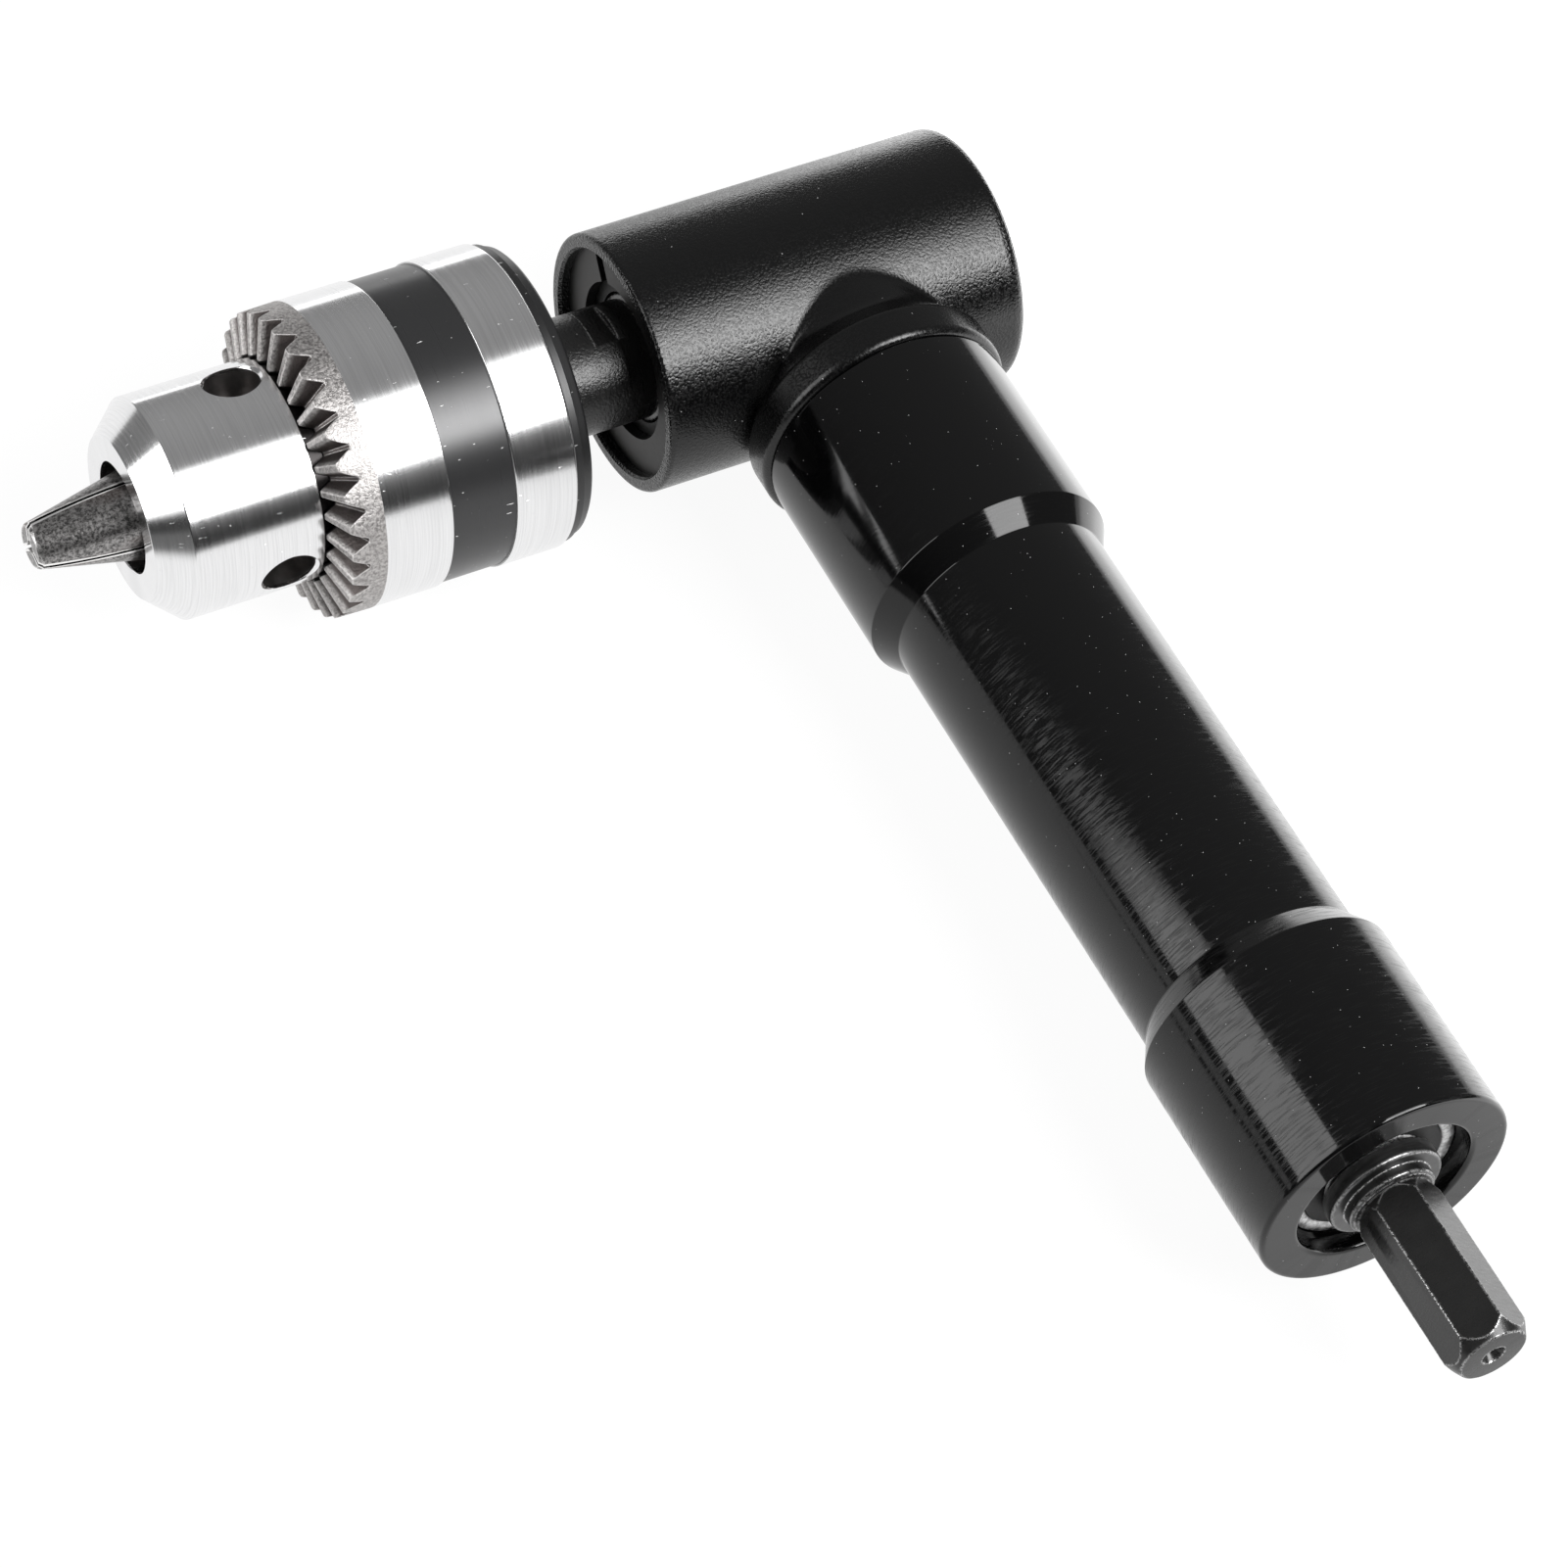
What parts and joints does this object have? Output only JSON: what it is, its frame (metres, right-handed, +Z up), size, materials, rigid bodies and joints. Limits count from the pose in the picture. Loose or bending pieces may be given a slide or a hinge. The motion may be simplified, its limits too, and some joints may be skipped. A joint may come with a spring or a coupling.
{
  "type": "right angle drill attachment",
  "caption": "Right-angle drill attachment: a hexagonal shank in a slim handle turns a keyed jaw chuck at ninety degrees through bevel gears.",
  "frame": {"origin": "centre of the end face of the hexagonal shank", "axes": "+Y along the shank, out of the handle towards the driving drill; +X parallel to the spindle, towards the chuck's nose; +Z up, square to both shafts"},
  "size_m": [0.1125, 0.1654, 0.0344],
  "materials": {
    "cast_black": "glossy black over a lightly pebbled casting",
    "turned_black": "glossy black over fine turning lines",
    "black_oxide": "black oxide, worn on its edges",
    "ground_steel": "bright ground steel with fine rings",
    "sleeve_steel": "bright ground steel, dark band and rim, rough toothed front",
    "jaw_steel": "hardened grey steel",
    "gear_steel": "machined steel under a film of grease",
    "spring_steel": "stamped spring steel",
    "bearing_steel": "polished bearing steel",
    "cage_brass": "pressed brass",
    "seal_rubber": "matt black rubber"
  },
  "bodies": {
    "housing": {"head_housing": "cast_black", "handle_tube": "turned_black", "head_retaining_ring": "spring_steel", "front_bearing_outer": "bearing_steel", "front_bearing_seals": "seal_rubber", "rear_bearing_outer": "bearing_steel", "pinion_bearing_outer": "bearing_steel", "collar_bearing_outer": "bearing_steel", "collar_bearing_seals": "seal_rubber"},
    "spindle": {"output_spindle": "black_oxide", "output_gear": "gear_steel", "gear_key": "gear_steel", "gear_retaining_ring": "spring_steel", "front_bearing_inner": "bearing_steel", "rear_bearing_inner": "bearing_steel", "chuck_body": "ground_steel"},
    "sleeve": {"chuck_sleeve": "sleeve_steel", "jaw_nut_half_1": "jaw_steel", "jaw_nut_half_2": "jaw_steel"},
    "jaw_a": {"jaw_1": "jaw_steel"},
    "jaw_b": {"jaw_2": "jaw_steel"},
    "jaw_c": {"jaw_3": "jaw_steel"},
    "input": {"input_shaft": "black_oxide", "pinion_gear": "gear_steel", "pinion_key": "gear_steel", "pinion_retaining_ring": "spring_steel", "shaft_retaining_ring": "spring_steel", "pinion_bearing_inner": "bearing_steel", "collar_bearing_inner": "bearing_steel"},
    "front_ball_set": {"front_bearing_balls": "bearing_steel", "front_bearing_cage": "cage_brass"},
    "rear_ball_set": {"rear_bearing_balls": "bearing_steel", "rear_bearing_cage": "cage_brass"},
    "pinion_ball_set": {"pinion_bearing_balls": "bearing_steel", "pinion_bearing_cage": "cage_brass"},
    "collar_ball_set": {"collar_bearing_balls": "bearing_steel", "collar_bearing_cage": "cage_brass"}
  },
  "joints": [
    {"name": "spindle_spin", "type": "hinge", "parent": "housing", "child": "spindle", "pos_m": [0, -0.14823, 0], "axis": [1, 0, 0], "continuous": true},
    {"name": "input_spin", "type": "hinge", "parent": "housing", "child": "input", "pos_m": [0, -0.14823, 0], "axis": [0, 1, 0], "continuous": true},
    {"name": "front_balls_orbit", "type": "hinge", "parent": "housing", "child": "front_ball_set", "pos_m": [0, -0.14823, 0], "axis": [1, 0, 0], "continuous": true},
    {"name": "rear_balls_orbit", "type": "hinge", "parent": "housing", "child": "rear_ball_set", "pos_m": [0, -0.14823, 0], "axis": [1, 0, 0], "continuous": true},
    {"name": "pinion_balls_orbit", "type": "hinge", "parent": "housing", "child": "pinion_ball_set", "pos_m": [0, -0.14823, 0], "axis": [0, 1, 0], "continuous": true},
    {"name": "collar_balls_orbit", "type": "hinge", "parent": "housing", "child": "collar_ball_set", "pos_m": [0, -0.14823, 0], "axis": [0, 1, 0], "continuous": true},
    {"name": "sleeve_turn", "type": "hinge", "parent": "spindle", "child": "sleeve", "pos_m": [0, -0.14823, 0], "axis": [1, 0, 0], "range_deg": [0, 3660]},
    {"name": "jaw_a_slide", "type": "slide", "parent": "spindle", "child": "jaw_a", "axis": [-0.9724, 0.1501, 0.1789], "range_m": [0, 0.02034]},
    {"name": "jaw_b_slide", "type": "slide", "parent": "spindle", "child": "jaw_b", "axis": [-0.9724, -0.23, 0.0406], "range_m": [0, 0.02034]},
    {"name": "jaw_c_slide", "type": "slide", "parent": "spindle", "child": "jaw_c", "axis": [-0.9724, 0.0799, -0.2194], "range_m": [0, 0.02034]}
  ],
  "couplings": [
    {"joint": "input_spin", "follows": "spindle_spin", "ratio": -1},
    {"joint": "front_balls_orbit", "follows": "spindle_spin", "ratio": 0.37111},
    {"joint": "rear_balls_orbit", "follows": "spindle_spin", "ratio": 0.40333},
    {"joint": "pinion_balls_orbit", "follows": "spindle_spin", "ratio": -0.38185},
    {"joint": "collar_balls_orbit", "follows": "spindle_spin", "ratio": -0.38185},
    {"joint": "jaw_a_slide", "follows": "sleeve_turn", "m_per_rad": 0.00031831},
    {"joint": "jaw_b_slide", "follows": "sleeve_turn", "m_per_rad": 0.00031831},
    {"joint": "jaw_c_slide", "follows": "sleeve_turn", "m_per_rad": 0.00031831}
  ]
}
